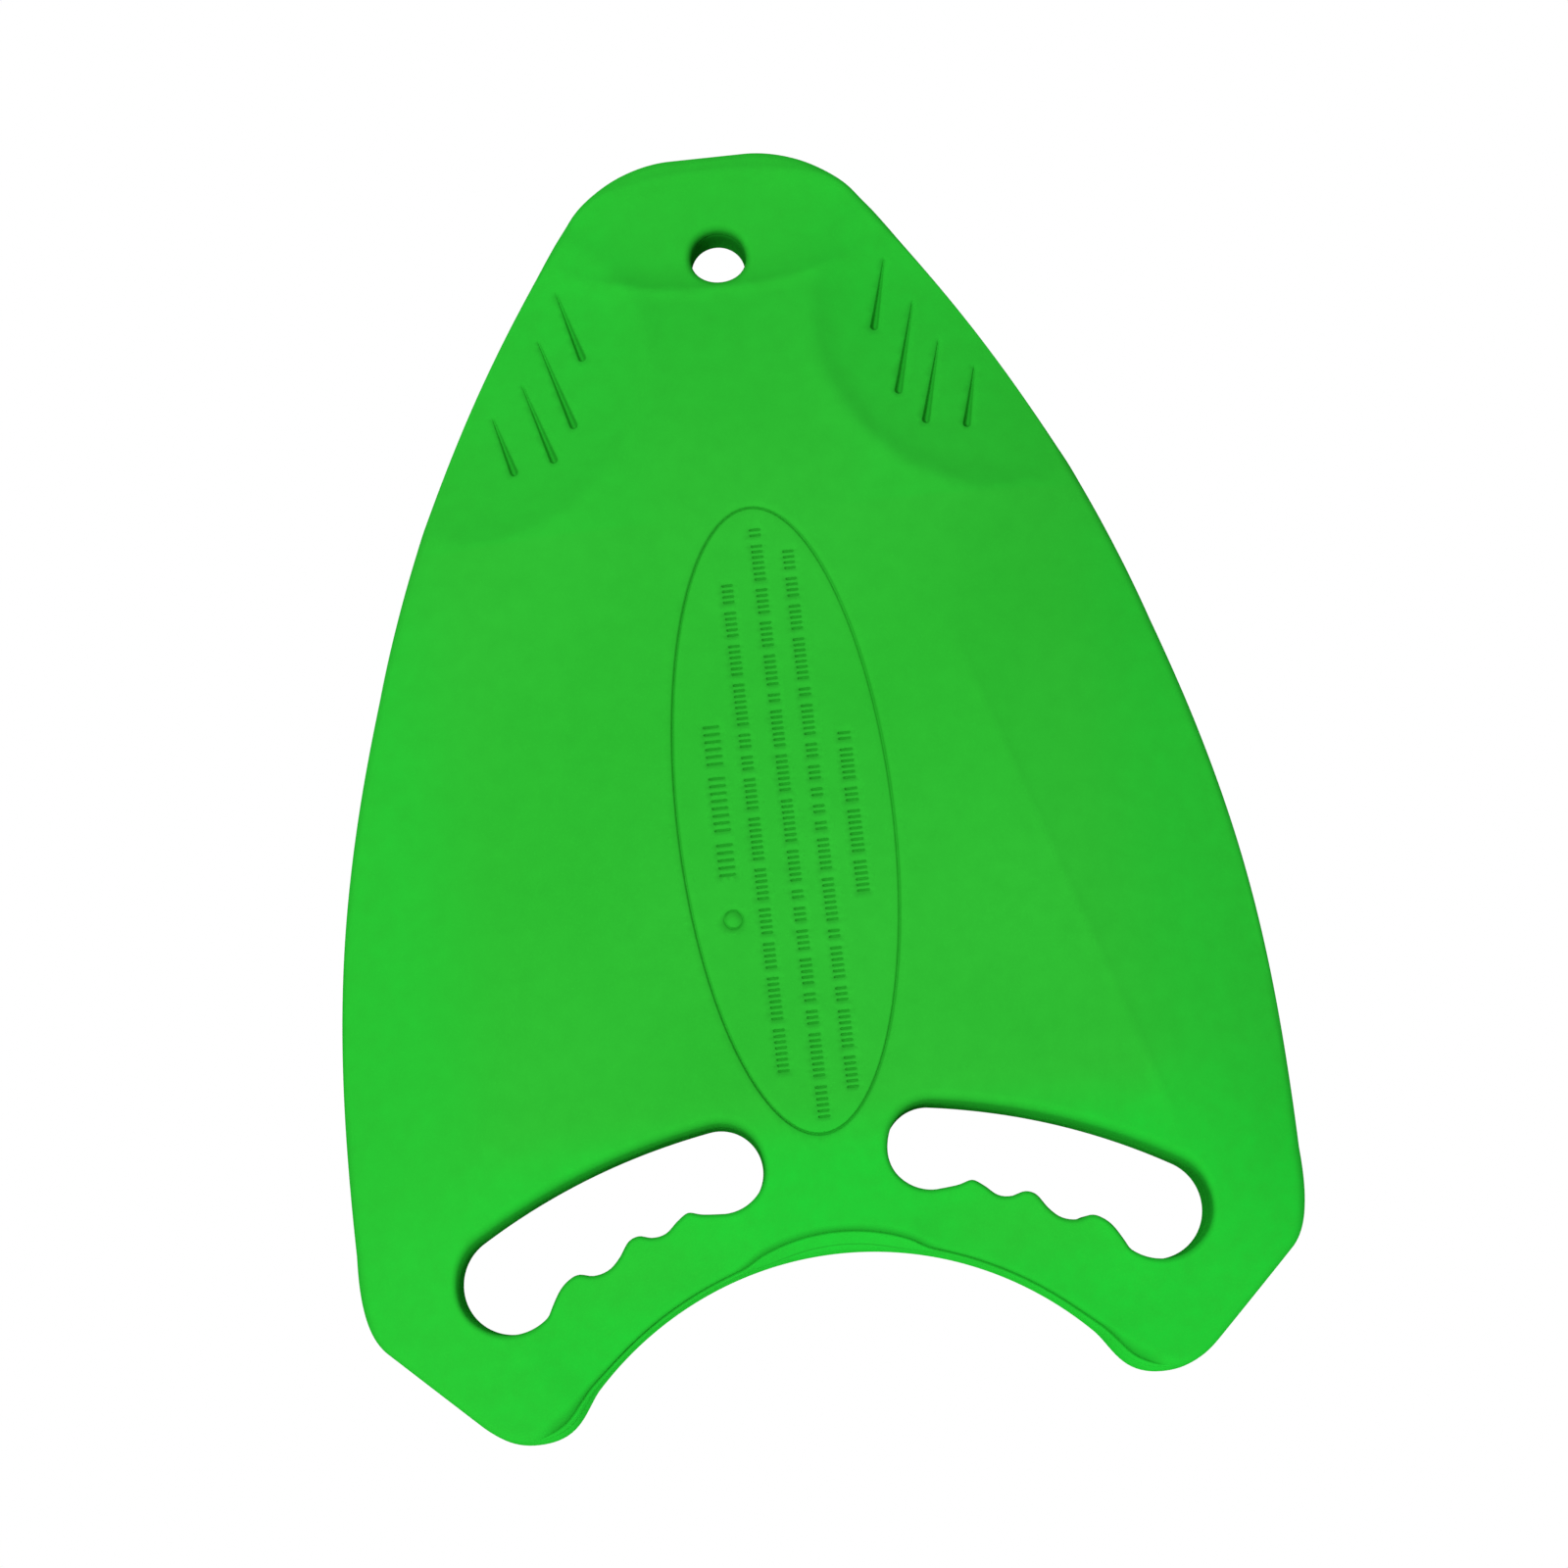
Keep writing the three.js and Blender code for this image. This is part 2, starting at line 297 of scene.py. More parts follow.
# The lobes' tips lean in on their bay side from this height up
LOBE_TIP_X, LOBE_LEAN, LOBE_LEAN_START_Z = 93, 0.5, 11
# Each half starts this far from the bond line, with a rounded lip: depth and height from its start
JOINT_HALF_GAP = 0.1
JOINT_LIP = ((0.45, 0.0), (0.4, 0.05), (0.12, 0.3))
LIP_HEIGHT = 0.7
# Rings of the upper wall from the lip (0) to the crease (1), with how dark a faint line painted across the
# bay's wall is
UPPER_RINGS = ((0.1, 0.0), (0.3, 0.0), (0.36, 0.6), (0.42, 0.0), (0.6, 0.0), (0.8, 0.0), (1.0, 0.0))
LOWER_RINGS = (0.34, 0.67, 1.0)
BAY_LINE_END_X, BAY_LINE_FADE = 66, 20
# The crease in the bay from the wall inwards: depth, height against the ledge, how much painted shade it gets
CREASE_PROFILE = (
    (0.0, -0.1, 0.0), (0.15, 0.0, 0.0), (0.75, -0.05, 0.1),
    (0.95, -0.3, 0.5), (1.05, -0.1, 0.7), (1.05, 0.3, 0.6),
)
CREASE_DEPTH = 1.05
PLAIN_RING_STEP = 0.06
ARC_STEPS = 8
# How much of a wall's painted shade is left at its top edge, against its middle
EDGE_SHADE = 0.55
UNDERSIDE_BAND = 0.6


def wall_inset(loop, normals, z, bay):
    """How far the wall has leaned into the material at height z."""
    z = np.broadcast_to(z, loop.shape[:1]).astype(float)
    if not bay:
        return WALL_DRAFT * z * ease_both(0.35 - normals[:, 1])
    lean = WALL_DRAFT * z
    in_bay = (np.abs(loop[:, 0]) < 45) & (loop[:, 1] < -150)
    cone = BAY_LEAN_RADIUS + BAY_FLARE * (z - CHAMFER_Z)
    reach = cone - np.hypot(loop[:, 0], loop[:, 1] - BAY_LEAN_CENTRE_Y)
    lean = np.where(in_bay, soft_start(reach - lean, 0.6) + lean, lean)
    tip = np.exp(-(((np.abs(loop[:, 0]) - LOBE_TIP_X) / 10) ** 2)) * (loop[:, 1] < -190)
    tip = tip * (normals[:, 1] > -0.2)
    return lean + LOBE_LEAN * soft_start(z - LOBE_LEAN_START_Z, 1) * smooth(tip, 12)


class Wall:
    """One loop's wall with its rounded edges, as rings of points from the bond line outwards.

    bands are depths of extra rings on the deck, and dark is how much painted shade the wall gets, a darkening
    towards the painted shade green. The outer wall has the bay, where a crease runs along its top.
    """

    def __init__(self, loop, top_radius, bottom_radius, bands, dark, bay=False):
        self.loop = loop
        self.dark = np.broadcast_to(dark, loop.shape[:1]).astype(float)
        self.upper_shades, self.lower_shades = [], []
        self.normals = inward(loop)
        self.bay = bay
        self.inset = Inset(loop, 16)
        self.top_radius = smooth(np.broadcast_to(top_radius, loop.shape[:1]).astype(float), 16)
        self.bottom_radius = bottom_radius
        self.bands = bands
        in_bay = (np.abs(loop[:, 0]) < 98) & (self.normals[:, 1] > -0.1) & (loop[:, 1] < -150)
        self.crease = smooth(in_bay.astype(float), 8) if bay else 0.0

    def lean(self, z):
        return wall_inset(self.loop, self.normals, z, self.bay)

    def place(self, depth, z):
        plan = self.inset.at(depth)
        return np.concatenate([plan, np.broadcast_to(z, plan.shape[:1])[:, None]], 1)

    def lip(self, way):
        """Rings of the lip beside the bond line, going up (1) or down (-1), and where they start."""
        seam = BOND_Z + way * JOINT_HALF_GAP
        rings = [self.place(self.lean(seam) + depth, seam + way * away) for depth, away in JOINT_LIP]
        end = seam + way * LIP_HEIGHT
        return rings + [self.place(self.lean(end), end)], seam

    def upper(self):
        """Rings from the bond line up over the top edge and onto the deck, with each one's painted shade."""
        corner = np.full(len(self.loop), EDGE_TOP)
        for _ in range(4):
            plan = self.inset.at(self.lean(corner))
            corner = deck_z(plan[:, 0], plan[:, 1])
        rings, seam = self.lip(1)
        room = corner - seam - LIP_HEIGHT
        radius = np.minimum(self.top_radius, 0.6 * room)
        gap = np.minimum(1, 0.25 * room)
        crease = np.broadcast_to(self.crease, radius.shape)
        shades = [self.dark] * len(rings)
        middle = self.crease * ease_both((BAY_LINE_END_X - np.abs(self.loop[:, 0])) / BAY_LINE_FADE)
        for part, line_dark in UPPER_RINGS:
            z = (seam + LIP_HEIGHT) * (1 - part) + (corner - radius - gap) * part
            rings.append(self.place(self.lean(z), z))
            shades.append(np.maximum(self.dark * (1 - (1 - EDGE_SHADE) * part), middle * line_dark))
        edge = self.dark * EDGE_SHADE
        ledge = corner - radius - 0.8 * gap
        for k, (width, up, shade) in enumerate(CREASE_PROFILE):
            z = ledge + gap * (crease * up + (1 - crease) * PLAIN_RING_STEP * k)
            rings.append(self.place(self.lean(z) + width * crease, z))
            shades.append(np.maximum(edge, crease * shade))
        step = CREASE_DEPTH * crease
        for k in range(1, ARC_STEPS + 1):
            angle = math.pi / 2 * k / ARC_STEPS
            down = radius * (1 - math.sin(angle))
            depth = self.lean(corner - down) + radius * (1 - math.cos(angle)) + step
            plan = self.inset.at(depth)
            rings.append(self.place(depth, deck_z(plan[:, 0], plan[:, 1]) - down))
            shades.append(np.maximum(edge, crease * 0.5) * math.cos(angle) ** 2)
        self.upper_shades = shades + [np.zeros(len(self.loop))] * len(self.bands)
        for extra in self.bands:
            depth = self.lean(corner) + radius + step + extra
            plan = self.inset.at(depth)
            rings.append(self.place(depth, deck_z(plan[:, 0], plan[:, 1])))
        return rings

    def lower(self):
        """Rings from the bond line down round the bottom edge, with each one's painted shade."""
        rings, seam = self.lip(-1)
        radius = self.bottom_radius
        for part in LOWER_RINGS:
            z = (seam - LIP_HEIGHT) * (1 - part) + radius * part
            rings.append(self.place(self.lean(z), z))
        shades = [self.dark] * len(rings)
        for k in range(1, ARC_STEPS + 1):
            angle = math.pi / 2 * k / ARC_STEPS
            up = radius * (1 - math.sin(angle))
            rings.append(self.place(self.lean(up) + radius * (1 - math.cos(angle)), up))
            shades.append(self.dark * math.cos(angle) ** 2)
        rings.append(self.place(radius + UNDERSIDE_BAND, 0.0))
        self.lower_shades = shades + [np.zeros(len(self.loop))]
        return rings


# ---- Relief features drawn into the deck's mesh ------------------------------------------------------

# Points nearer than this are one point. A triangle with less than this, as twice its area, is dropped.
SAME_POINT = 1e-5
SLIVER = 0.02
# The deck's loose points: how far apart, how far past the board the grid starts, how far from any loop
DECK_SPACING, DECK_MARGIN, DECK_CLEARANCE = 2.0, 4.0, 1.0
UNDERSIDE_SPACING = 8.0
# Extra rows of points along the edge of the raised deck: their range in y and their places across it
RIDGE_ROW_Y = (-165, 60, 1.5)
RIDGE_ROWS_X = (-3.2, -1.6, 0, 1.6, 3.2)

PANEL_FLOOR = -0.45
PANEL_GROOVE = -1.35
# The groove round the panel: distance outside the panel's outline, height
PANEL_RIM = (
    (0.8, 0.0), (0.5, -0.25), (0.25, PANEL_GROOVE * 0.9), (0.0, PANEL_GROOVE),
    (-0.3, PANEL_GROOVE * 0.9), (-0.6, PANEL_FLOOR - 0.1), (-0.9, PANEL_FLOOR),
)
# Rows of ribs on the panel: x, first y, last y, half the length of a rib
RIB_ROWS = (
    (-21.0, -41.0, 9.0, 2.9), (-10.3, -107.0, 58.0, 2.1), (1.0, -123.0, 75.0, 2.1),
    (11.3, -114.5, 66.5, 2.1), (22.5, -51.0, 2.5, 2.3),
)
RIB_FLOOR = PANEL_FLOOR - 0.8
RIB_PITCH, LONG_RIB_PITCH, LONG_RIB = 1.9, 2.5, 2.5
RIB_HALF_WIDTH, RIB_FLOOR_HALF_WIDTH, RIB_END_SLOPE = 0.58, 0.32, 0.25
# The small ring beside the ribs: its centre, and its radii with their heights
RING_CENTRE = (-20.7, -56.0)
RING_PROFILE = ((3.6, PANEL_FLOOR), (3.3, RIB_FLOOR), (2.7, RIB_FLOOR), (2.4, PANEL_FLOOR))
# A groove's side from the deck to its floor: distance from its edge, part of its depth
GROOVE_PROFILE = ((0.0, 0.0), (0.35, 0.3), (0.8, 0.78), (1.25, 1.0))
GROOVE_TIP_HALF_WIDTH, GROOVE_TIP_DEPTH, GROOVE_SPACING = 0.25, 0.15, 1.6
# Painted shade in sunk features: this much from 1.5 mm down, and none down to 0.5 mm
FEATURE_SHADE = 0.4


class Sheet:
    """Points of the deck's surface inside its edge bands, with the feature loops that cut into it."""

    def __init__(self):
        self.points, self.offsets, self.edges, self.keep_out = [], [], [], []

    def add_loop(self, points, offset):
        first = len(self.points)
        count = len(points)
        self.points += [tuple(p) for p in points]
        self.offsets += list(np.broadcast_to(offset, (count,)).astype(float))
        self.edges += [(first + i, first + (i + 1) % count) for i in range(count)]

    def add_feature(self, loops, offsets):
        """Nested loops, outermost first: grid points stay out of the outermost."""
        for points, offset in zip(loops, offsets):
            self.add_loop(points, offset)
        self.keep_out.append(np.array(loops[0]))


def inside(points, loop):
    """Which points lie inside a closed loop."""
    result = np.zeros(len(points), bool)
    low, high = loop.min(0), loop.max(0)
    near = np.where(np.all((points >= low) & (points <= high), 1))[0]
    x, y = points[near, 0], points[near, 1]
    odd = np.zeros(len(near), bool)
    for (x0, y0), (x1, y1) in zip(loop, np.roll(loop, -1, 0)):
        if y0 != y1:
            crosses = (y0 > y) != (y1 > y)
            odd ^= crosses & (x < (x1 - x0) * (y - y0) / (y1 - y0) + x0)
    result[near] = odd
    return result


def between(points, boundaries):
    """Which points lie inside the first loop and outside the others."""
    keep = inside(points, boundaries[0][:, :2])
    for ring in boundaries[1:]:
        keep &= ~inside(points, ring[:, :2])
    return keep


def clear_of(points, others, distance):
    """Which points are further than the distance from all the others."""
    tree = kdtree.KDTree(len(others))
    for i, p in enumerate(others):
        tree.insert((p[0], p[1], 0), i)
    tree.balance()
    return np.array([tree.find((p[0], p[1], 0))[2] > distance for p in points])


def triangle_grid(spacing, margin):
    """Points over the whole board, with every second row moved by half a step."""
    rows = np.arange(TAIL_Y, NOSE_Y, spacing * math.sqrt(3) / 2)
    columns = np.arange(-HALF_WIDTH - margin, HALF_WIDTH + margin, spacing)
    grid = np.stack(np.meshgrid(columns, rows), -1)
    grid[1::2, :, 0] += spacing / 2
    return grid.reshape(-1, 2)


def triangulate(points, edges, boundaries):
    """Triangles that keep the edges: the points, the index that each one had before, the triangles."""
    result = delaunay_2d_cdt([Vector(p) for p in points], edges, [], 0, SAME_POINT, True)
    out = np.array([tuple(v) for v in result[0]])
    origin = np.array([ids[0] if ids else -1 for ids in result[3]])
    faces = np.array([f for f in result[2] if len(f) == 3])
    return out, origin, faces[between(out[faces].mean(1), boundaries)]


def turn(corners):
    """Twice the area of each triangle in plan, positive where it runs anticlockwise."""
    a, b, c = (corners[:, k] for k in range(3))
    return (b[:, 0] - a[:, 0]) * (c[:, 1] - a[:, 1]) - (b[:, 1] - a[:, 1]) * (c[:, 0] - a[:, 0])


def panel_ellipse(outward, spacing):
    """The panel's outline, moved outwards."""
    t = np.linspace(0, 2 * math.pi, 2000, endpoint=False)
    points = np.stack([PANEL_HALF_WIDTH * np.cos(t), PANEL_HALF_LENGTH * np.sin(t)], 1)
    normal = np.stack([np.cos(t) / PANEL_HALF_WIDTH, np.sin(t) / PANEL_HALF_LENGTH], 1)
    normal /= np.hypot(*normal.T)[:, None]
    return resample(points + normal * outward + (0, PANEL_Y), spacing)


def panel_offset(x, y):
    """Depth of the panel's floor at plain points of the deck."""
    within = (x / PANEL_HALF_WIDTH) ** 2 + ((y - PANEL_Y) / PANEL_HALF_LENGTH) ** 2 < 1
    return np.where(within, PANEL_FLOOR, 0.0)


def capsule(x, y, half_length, half_width, turns=4):
    """A bar with round ends, long along x."""
    right = arc(x + half_length - half_width, y, half_width, -90, 90, turns)
    left = arc(x - half_length + half_width, y, half_width, 90, 270, turns)
    return np.concatenate([right, [(x, y + half_width)], left, [(x, y - half_width)]])


def add_ribs(sheet):
    """Rows of fine sunk ribs on the panel, in groups, and one small ring beside them."""
    for x, start, end, half in RIB_ROWS:
        y = start
        pitch = RIB_PITCH if half < LONG_RIB else LONG_RIB_PITCH
        while y <= end:
            group = random.randint(2, 8)
            for _ in range(group):
                if y > end:
                    break
                edge = capsule(x, y, half, RIB_HALF_WIDTH)
                floor = capsule(x, y, half - RIB_END_SLOPE, RIB_FLOOR_HALF_WIDTH)
                sheet.add_feature([edge, floor], [PANEL_FLOOR, RIB_FLOOR])
                y += pitch
            y += pitch
    circles = [arc(*RING_CENTRE, radius, 0, 345, 24) for radius, _ in RING_PROFILE]
    sheet.add_feature(circles, [height for _, height in RING_PROFILE])


def add_grooves(sheet):
    """Wedge grooves of the grip hollows: pointed and shallow at one end, round and deep at the other."""
    for side in (-1, 1):
        for narrow, wide in GROOVES:
            a = np.array(narrow) * (side, 1)
            b = np.array(wide) * (side, 1)
            along = (b - a) / np.hypot(*(b - a))
            across = np.array([-along[1], along[0]])
            length = np.hypot(*(b - a))
            count = int(length / GROOVE_SPACING)
            loops, offsets = [], []
            for shrink, depth in GROOVE_PROFILE:
                t = np.linspace(0.03 + 0.05 * shrink, 1, count)
                width = GROOVE_TIP_HALF_WIDTH + (GROOVE_WIDTH / 2 - GROOVE_TIP_HALF_WIDTH) * t
                width = width * (1 - shrink / (GROOVE_WIDTH / 2)) + 0.02
                low = a + np.outer(t * length, along) - np.outer(width, across)
                high = a + np.outer(t * length, along) + np.outer(width, across)
                angle = np.radians(np.linspace(-90, 90, 9)[1:-1])
                cap = b + np.outer(np.cos(angle) * width[-1], along)
                cap = cap + np.outer(np.sin(angle) * width[-1], across)
                loops.append(np.concatenate([low, cap, high[::-1]]))
                fade = np.concatenate([t, np.ones(len(angle)), t[::-1]])
                part = GROOVE_TIP_DEPTH + (1 - GROOVE_TIP_DEPTH) * fade
                offsets.append(-GROOVE_DEPTH * depth * part)
            sheet.add_feature(loops, offsets)


def deck_sheet(boundaries):
    """Fills the deck between the edge bands.

    Returns the points, the triangles, the index that each point had before, the number of band points,
    which come first, and each point's painted shade.
    """
    sheet = Sheet()
    for ring in boundaries:
        sheet.add_loop(ring[:, :2], 0.0)
    band_count = len(sheet.points)
    add_grooves(sheet)
    for outward, offset in PANEL_RIM:
        sheet.add_loop(panel_ellipse(outward, PANEL_SPACING), offset)
    add_ribs(sheet)

    def on_deck(points):
        keep = between(points, boundaries)
        for loop in sheet.keep_out:
            keep &= ~inside(points, loop)
        return points[keep]

    ridge_y = np.arange(*RIDGE_ROW_Y)
    ridges = on_deck(np.concatenate([
        np.stack([side * (ridge_x(ridge_y) + offset), ridge_y], 1)
        for side in (-1, 1) for offset in RIDGE_ROWS_X
    ]))
    ridges = ridges[clear_of(ridges, sheet.points, DECK_CLEARANCE)]
    grid = on_deck(triangle_grid(DECK_SPACING, DECK_MARGIN))
    grid = grid[clear_of(grid, list(ridges) + sheet.points, DECK_CLEARANCE)]
    loose = np.concatenate([ridges, grid])
    offsets = np.concatenate([sheet.offsets, panel_offset(loose[:, 0], loose[:, 1])])
    points = np.concatenate([np.array(sheet.points), loose])
    out, origin, faces = triangulate(points, sheet.edges, boundaries)
    offsets = offsets[origin]
    z = deck_z(out[:, 0], out[:, 1]) + offsets
    shade = FEATURE_SHADE * clamp01(-offsets - 0.5)
    return np.concatenate([out, z[:, None]], 1), faces, origin, band_count, shade


def flat_sheet(boundaries, z, spacing=None):
    """Fills a level face between loops. Returns what deck_sheet does."""
    sheet = Sheet()
    for ring in boundaries:
        sheet.add_loop(ring[:, :2], 0.0)
    band_count = len(sheet.points)
    points = np.array(sheet.points)
    if spacing:
        grid = triangle_grid(spacing, 0)
        grid = grid[between(grid, boundaries)]
        grid = grid[clear_of(grid, points, spacing * 0.6)]
        points = np.concatenate([points, grid])
    out, origin, faces = triangulate(points, sheet.edges, boundaries)
    faces = faces[np.abs(turn(out[faces])) > SLIVER]
    level = np.concatenate([out, np.full((len(out), 1), z)], 1)
    return level, faces, origin, band_count, np.zeros(len(out))


def build_half(name, stacks, shades, outside_sheet, cap_sheet, flip):
    """A closed mesh: the walls' rings, the outside face and the hidden face at the bond.

    stacks holds each wall's rings from the bond outwards, and flip turns the faces of the lower half.
    """
    points, faces = [], []
    shades = [shade for stack in shades for shade in stack]
    first_rings, last_rings = [], []
    total = 0
    for rings in stacks:
        count = len(rings[0])
        starts = []
        for ring in rings:
            points.append(ring)
            starts.append(total)
            total += count
        nxt = (np.arange(count) + 1) % count
        own = np.arange(count)
        for a, b in zip(starts, starts[1:]):
            quad = np.stack([a + own, a + nxt, b + nxt, b + own], 1)
            faces += (quad[:, ::-1] if flip else quad).tolist()
        first_rings.append(starts[0] + own)
        last_rings.append(starts[-1] + own)

    def attach(sheet, band_index, up):
        nonlocal total
        out, triangles, origin, band_count, shade = sheet
        band_index = np.concatenate(band_index)
        index = np.zeros(len(out), int)
        on_band = (origin >= 0) & (origin < band_count)
        index[on_band] = band_index[origin[on_band]]
        fresh = np.where(~on_band)[0]
        index[fresh] = total + np.arange(len(fresh))
        points.append(out[fresh])
        shades.append(shade[fresh])
        total += len(fresh)
        wrong = (turn(out[triangles]) < 0) == up
        triangles = np.where(wrong[:, None], triangles[:, ::-1], triangles)
        faces.extend(index[triangles].tolist())

    attach(outside_sheet, last_rings, not flip)
    attach(cap_sheet, first_rings, flip)
    mesh = bpy.data.meshes.new(name)
    mesh.from_pydata((np.concatenate(points) * MM).tolist(), [], faces)
    # The shade attribute holds painted shade: walls, rounded edges, the bay's crease and sunk features
    painted_shade_attribute = mesh.attributes.new("shade", "FLOAT", "POINT")
    painted_shade_attribute.data.foreach_set("value", np.concatenate(shades).astype(np.float32))
    mesh.validate()
    mesh.update()
    mesh.polygons.foreach_set("use_smooth", np.ones(len(mesh.polygons), bool))
    piece = bpy.data.objects.new(name, mesh)
    bpy.context.scene.collection.objects.link(piece)
    return piece


def wall_radii(loop):
    """Radius of the top edge round the board."""
    x, y = np.abs(loop[:, 0]), loop[:, 1]
    radius = np.full(len(loop), 3.6)
    radius[y > 190] = 3.2
    radius[y < -170] = 2.6
    in_bay = (x < 84) & (y < -150)
    radius[in_bay] = 1.3
    return radius


def outer_wall_shade(loop):
    """How much painted shade the outer wall gets: none in the bay."""
    in_bay = (np.abs(loop[:, 0]) < 106) & (loop[:, 1] < -150) & (inward(loop)[:, 1] > 0)
    return smooth(np.where(in_bay, 0.0, np.where(loop[:, 1] > 190, 0.15, 0.3)), 10)


outer = outer_loop()
slot = slot_loop()
# 1 where a slot's material is on its nose side, -1 at the fingers
slot_facing = inward(slot)[:, 1]
slot_radius = 1.9 + 1.3 * ease_both(slot_facing * 0.8 + 0.3)
# Painted shade on the slots' walls and rims, most where they face the nose side
slot_wall_shade = 0.7 + 0.2 * ease_both(slot_facing + 0.5)
walls = [
    Wall(outer, wall_radii(outer), bottom_radius=3.0, bands=(1.0, 2.2, 3.6), dark=outer_wall_shade(outer), bay=True),
    Wall(slot, slot_radius, bottom_radius=1.8, bands=(0.5,), dark=slot_wall_shade),
    Wall(mirrored(slot), slot_radius[::-1], bottom_radius=1.8, bands=(0.5,), dark=slot_wall_shade[::-1]),
    # The hole's wall and rim get the full painted shade
    Wall(hole_loop(), 3.2, bottom_radius=2.2, bands=(1.0, 2.2), dark=1.0),
]

uppers = [wall.upper() for wall in walls]
lowers = [wall.lower() for wall in walls]
deck = build_half(
    "deck_foam", uppers, [wall.upper_shades for wall in walls],
    deck_sheet([rings[-1] for rings in uppers]),
    flat_sheet([rings[0] for rings in uppers], uppers[0][0][0, 2]), flip=False,
)
base = build_half(
    "base_foam", lowers, [wall.lower_shades for wall in walls],
    flat_sheet([rings[-1] for rings in lowers], 0.0, UNDERSIDE_SPACING),
    flat_sheet([rings[0] for rings in lowers], lowers[0][0][0, 2]), flip=True,
)

# ---- Foam ------------------------------------------------------------------------------------------


# Noise scales, per metre
CLOUD_SCALE, MOTTLE_SCALE, SPECK_SCALE, PEBBLE_SCALE, SINK_SCALE = 9.0, 160.0, 1500.0, 950.0, 55.0
# The green that painted shade darkens the colour to
PAINTED_SHADE_GREEN = (0.008, 0.215, 0.012)


def foam_material(name, deep, light, painted_light_green):
    """Moulded closed-cell foam: a fine pebbled skin and faint mottling, matt, with no sheen in the shader.

    deep and light are the plain skin, whose slight grey is a painted sheen. It goes to bright, a painted
    light, where "fresh" is 1, and to the painted shade green where "shade" is 1.
    """
    material = bpy.data.materials.new(name)
    material.use_nodes = True
    nodes, links = material.node_tree.nodes, material.node_tree.links
    shader = nodes["Principled BSDF"]
    where = nodes.new("ShaderNodeTexCoord").outputs["Object"]

    def noise(scale, detail, rough=0.55):
        node = nodes.new("ShaderNodeTexNoise")
        node.inputs["Scale"].default_value = scale
        node.inputs["Detail"].default_value = detail
        node.inputs["Roughness"].default_value = rough
        links.new(where, node.inputs["Vector"])
        return node.outputs["Fac"]

    def remap(value, low, high, to_low, to_high):
        node = nodes.new("ShaderNodeMapRange")
        for socket, number in zip(("From Min", "From Max", "To Min", "To Max"),
                                  (low, high, to_low, to_high)):
            node.inputs[socket].default_value = number
        links.new(value, node.inputs["Value"])
        return node.outputs["Result"]

    def mix(factor, a, b):
        node = nodes.new("ShaderNodeMix")
        node.data_type = "RGBA"
        links.new(factor, node.inputs["Factor"])
        for socket, colour in (("A", a), ("B", b)):
            target = [s for s in node.inputs if s.name == socket and s.type == "RGBA"][0]
            if isinstance(colour, tuple):
                target.default_value = (*colour, 1)
            else:
                links.new(colour, target)
        return [s for s in node.outputs if s.type == "RGBA"][0]

    # Painted light: where the "fresh" attribute is 1 the colour goes to the brighter, lit green
    fresh = nodes.new("ShaderNodeAttribute")
    fresh.attribute_name = "fresh"
    clouds = noise(CLOUD_SCALE, 3.0)
    mottle = noise(MOTTLE_SCALE, 4.0, 0.6)
    speck = noise(SPECK_SCALE, 2.0)
    colour = mix(remap(clouds, 0.35, 0.65, 0.0, 1.0), deep, light)
    colour = mix(fresh.outputs["Fac"], colour, painted_light_green)
    colour = mix(remap(mottle, 0.3, 0.75, 0.0, 0.35), colour, tuple(c * 0.86 for c in deep))
    colour = mix(remap(speck, 0.55, 0.8, 0.0, 0.3), colour, tuple(min(1, c * 1.18) for c in light))
    # Painted shade: where the "shade" attribute is 1 the colour goes to the painted shade green
    shade = nodes.new("ShaderNodeAttribute")
    shade.attribute_name = "shade"
    colour = mix(shade.outputs["Fac"], colour, PAINTED_SHADE_GREEN)
    links.new(colour, shader.inputs["Base Color"])
    links.new(remap(mottle, 0.3, 0.7, 0.58, 0.72), shader.inputs["Roughness"])
    shader.inputs["Specular IOR Level"].default_value = 0.0

    pebble = nodes.new("ShaderNodeTexVoronoi")
    pebble.feature = "SMOOTH_F1"
    pebble.inputs["Scale"].default_value = PEBBLE_SCALE
    links.new(where, pebble.inputs["Vector"])
    skin = nodes.new("ShaderNodeBump")
    skin.inputs["Strength"].default_value = 0.14
    skin.inputs["Distance"].default_value = 0.00012
    links.new(pebble.outputs["Distance"], skin.inputs["Height"])
    sink = nodes.new("ShaderNodeBump")
    sink.inputs["Strength"].default_value = 0.06
    sink.inputs["Distance"].default_value = 0.0006
    links.new(noise(SINK_SCALE, 2.0), sink.inputs["Height"])
    links.new(skin.outputs["Normal"], sink.inputs["Normal"])
    links.new(sink.outputs["Normal"], shader.inputs["Normal"])
    return material


def mark_painted_light(piece):
    """Marks painted light, a brighter and stronger green: most in the tail, less on the sides and nose.

    It is weaker on the handles, on the left of the tail and over the middle.
    """
    co = np.zeros(len(piece.data.vertices) * 3)
    piece.data.vertices.foreach_get("co", co)
    x, y, z = co.reshape(-1, 3).T / MM
    start = -114 + 50 * ease_both((np.abs(x) - 100) / 30)
    run = 26 + 70 * ease_both((np.abs(x) - 100) / 30)
    tail = ease_both((start - y) / run)
    grips = np.exp(-(((np.abs(x) - 62) / 30) ** 2) - ((y + 165) / 14) ** 2)
    nose = 0.3 * ease_both((y - 80) / 90) + 0.2 * ease_both((np.abs(x) - 20) / 30) * (y > 80)
    left = 1 - 0.35 * ease_both((-x - 60) / 60)
    sides = 0.5 * ease_both((np.abs(x) - 92) / 40) * ease_both((110 - y) / 60)
    value = np.clip(np.maximum(np.maximum(tail * (1 - 0.5 * grips) * left, nose), sides), 0, 1)
    marks = piece.data.attributes.new("fresh", "FLOAT", "POINT")
    marks.data.foreach_set("value", value.astype(np.float32))


